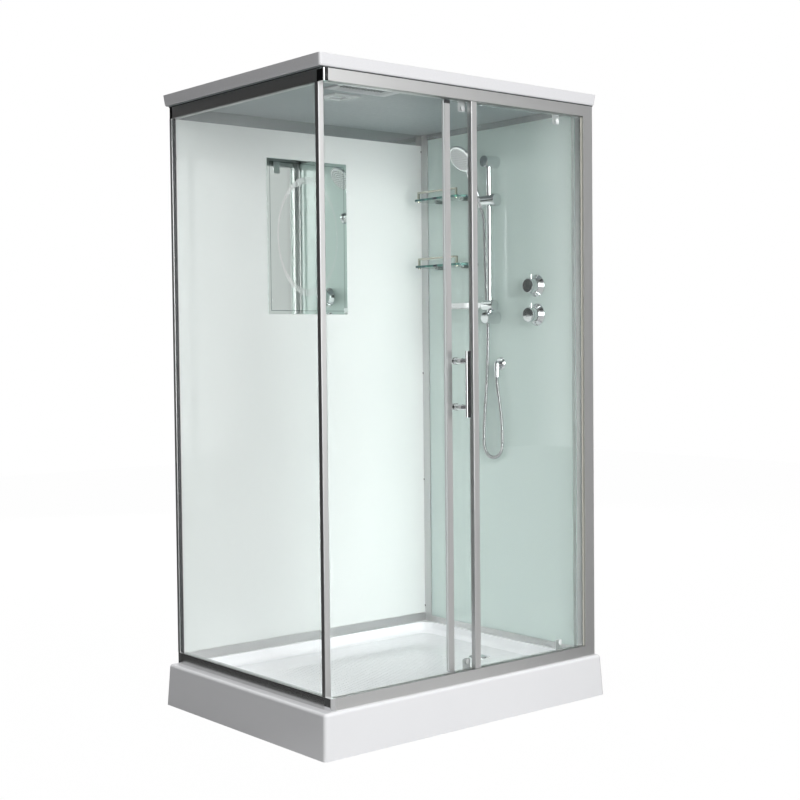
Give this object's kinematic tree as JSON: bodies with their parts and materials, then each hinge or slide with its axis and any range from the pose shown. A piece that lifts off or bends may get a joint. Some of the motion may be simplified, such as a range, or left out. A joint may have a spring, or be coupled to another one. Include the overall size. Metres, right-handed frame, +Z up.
{
  "type": "shower cabin",
  "caption": "Rectangular shower cabin with low white tray, aluminium frame, clear sliding door, painted glass walls, mirror, shelves, hand shower on a riser rail and white roof.",
  "frame": {"origin": "bottom centre of the overall bounding box, on the floor of the room", "axes": "+X along the door front to the right, +Y from the door front to the back wall, +Z up"},
  "size_m": [1.2, 0.9086, 2.05],
  "materials": {
    "tray_acrylic": "glossy white sanitary acrylic",
    "frame_steel": "galvanised",
    "foot_plastic": "moulded",
    "chrome": "polished",
    "trap_plastic": "moulded",
    "aluminium": "satin anodised",
    "clear_glass": "clear toughened glass with green edges",
    "back_glass": "glass painted pale mint on its back",
    "side_glass": "glass painted mint on its back",
    "mirror": "silvered glass with a frosted oval band",
    "roof_plastic": "glossy white",
    "grille_plastic": "satin",
    "lamp_plastic": "translucent",
    "fan_plastic": "moulded",
    "seal": "translucent soft seal",
    "bracket_steel": "stainless",
    "roller_plastic": "moulded",
    "brass": "cast",
    "chromed_plastic": "chrome plated",
    "spray_plastic": "moulded with soft nozzles",
    "dish_plastic": "frosted clear"
  },
  "bodies": {
    "cabin": {"shower_tray": "tray_acrylic", "tray_frame": "frame_steel", "levelling_feet": "foot_plastic", "waste_cover": "chrome", "corner_caps": "chrome", "riser_rail": "chrome", "riser_brackets": "chrome", "wall_elbow": "chrome", "mixer_escutcheons": "chrome", "shelf_rails": "chrome", "shelf_clips": "chrome", "shower_hose": "chrome", "waste_trap": "trap_plastic", "left_bottom_rail": "aluminium", "left_top_rail": "aluminium", "front_bottom_rail": "aluminium", "front_top_rail": "aluminium", "back_bottom_rail": "aluminium", "back_top_rail": "aluminium", "right_bottom_rail": "aluminium", "right_top_rail": "aluminium", "front_left_post": "aluminium", "back_left_post": "aluminium", "back_right_post": "aluminium", "front_right_post": "aluminium", "fixed_profile": "aluminium", "left_glass": "clear_glass", "fixed_glass": "clear_glass", "shelf_glasses": "clear_glass", "back_wall_glass": "back_glass", "right_wall_glass": "side_glass", "wall_mirror": "mirror", "roof_cover": "roof_plastic", "ceiling_panel": "roof_plastic", "fan_grille": "grille_plastic", "ceiling_lamp": "lamp_plastic", "fan_housing": "fan_plastic", "mixer_body": "brass"},
    "door": {"door_glass": "clear_glass", "door_profile": "aluminium", "door_seal": "seal", "door_trailing_seal": "seal", "handle_bar": "chrome", "handle_mounts": "chrome", "roller_brackets": "bracket_steel"},
    "slider": {"slider_body": "chrome"},
    "clamp": {"slider_knob": "chrome"},
    "holder": {"shower_holder": "chrome"},
    "hand_shower": {"hand_shower": "chromed_plastic", "spray_face": "spray_plastic"},
    "soap": {"soap_slider": "chrome", "soap_dish": "dish_plastic"},
    "upper_knob": {"knob_upper": "chrome"},
    "lower_knob": {"knob_lower": "chrome"},
    "fan": {"fan_rotor": "fan_plastic"},
    "roller_upper_left": {"roller_upper_left": "roller_plastic"},
    "roller_upper_right": {"roller_upper_right": "roller_plastic"},
    "roller_lower_left": {"roller_lower_left": "roller_plastic"},
    "roller_lower_right": {"roller_lower_right": "roller_plastic"}
  },
  "joints": [
    {"name": "door_slide", "type": "slide", "parent": "cabin", "child": "door", "axis": [1, 0, 0], "range_m": [-0.4637, 0]},
    {"name": "roller_upper_left_spin", "type": "hinge", "parent": "door", "child": "roller_upper_left", "pos_m": [0.009, -0.39075, 1.9908], "axis": [0, 1, 0], "continuous": true},
    {"name": "roller_upper_right_spin", "type": "hinge", "parent": "door", "child": "roller_upper_right", "pos_m": [0.433, -0.39075, 1.9908], "axis": [0, 1, 0], "continuous": true},
    {"name": "roller_lower_left_spin", "type": "hinge", "parent": "door", "child": "roller_lower_left", "pos_m": [0.009, -0.39075, 0.1578], "axis": [0, 1, 0], "continuous": true},
    {"name": "roller_lower_right_spin", "type": "hinge", "parent": "door", "child": "roller_lower_right", "pos_m": [0.433, -0.39075, 0.1578], "axis": [0, 1, 0], "continuous": true},
    {"name": "slider_height", "type": "slide", "parent": "cabin", "child": "slider", "axis": [0, 0, 1], "range_m": [-0.2, 0.06], "deforming": ["shower_hose"]},
    {"name": "clamp_turn", "type": "hinge", "parent": "slider", "child": "clamp", "pos_m": [0.51, 0.00425, 1.729], "axis": [0, 1, 0], "range_deg": [0, 180]},
    {"name": "holder_tilt", "type": "hinge", "parent": "slider", "child": "holder", "pos_m": [0.51, 0.07225, 1.729], "axis": [0, -1, 0], "range_deg": [-10, 30], "deforming": ["shower_hose"]},
    {"name": "hand_shower_lift", "type": "slide", "parent": "holder", "child": "hand_shower", "axis": [-0.4067, 0, 0.9135], "range_m": [0, 0.06], "deforming": ["shower_hose"]},
    {"name": "soap_height", "type": "slide", "parent": "cabin", "child": "soap", "axis": [0, 0, 1], "range_m": [0, 0.1]},
    {"name": "upper_knob_turn", "type": "hinge", "parent": "cabin", "child": "upper_knob", "pos_m": [0.548, -0.17975, 1.414], "axis": [-1, 0, 0], "range_deg": [0, 90]},
    {"name": "lower_knob_turn", "type": "hinge", "parent": "cabin", "child": "lower_knob", "pos_m": [0.548, -0.17975, 1.312], "axis": [-1, 0, 0], "range_deg": [-60, 60]},
    {"name": "fan_spin", "type": "hinge", "parent": "cabin", "child": "fan", "pos_m": [-0.236, -0.20675, 2.02], "axis": [0, 0, 1], "continuous": true}
  ],
  "couplings": [
    {"joint": "roller_upper_left_spin", "follows": "door_slide", "rad_per_m": 105.26},
    {"joint": "roller_upper_right_spin", "follows": "door_slide", "rad_per_m": 105.26},
    {"joint": "roller_lower_left_spin", "follows": "door_slide", "rad_per_m": 105.26},
    {"joint": "roller_lower_right_spin", "follows": "door_slide", "rad_per_m": 105.26}
  ]
}
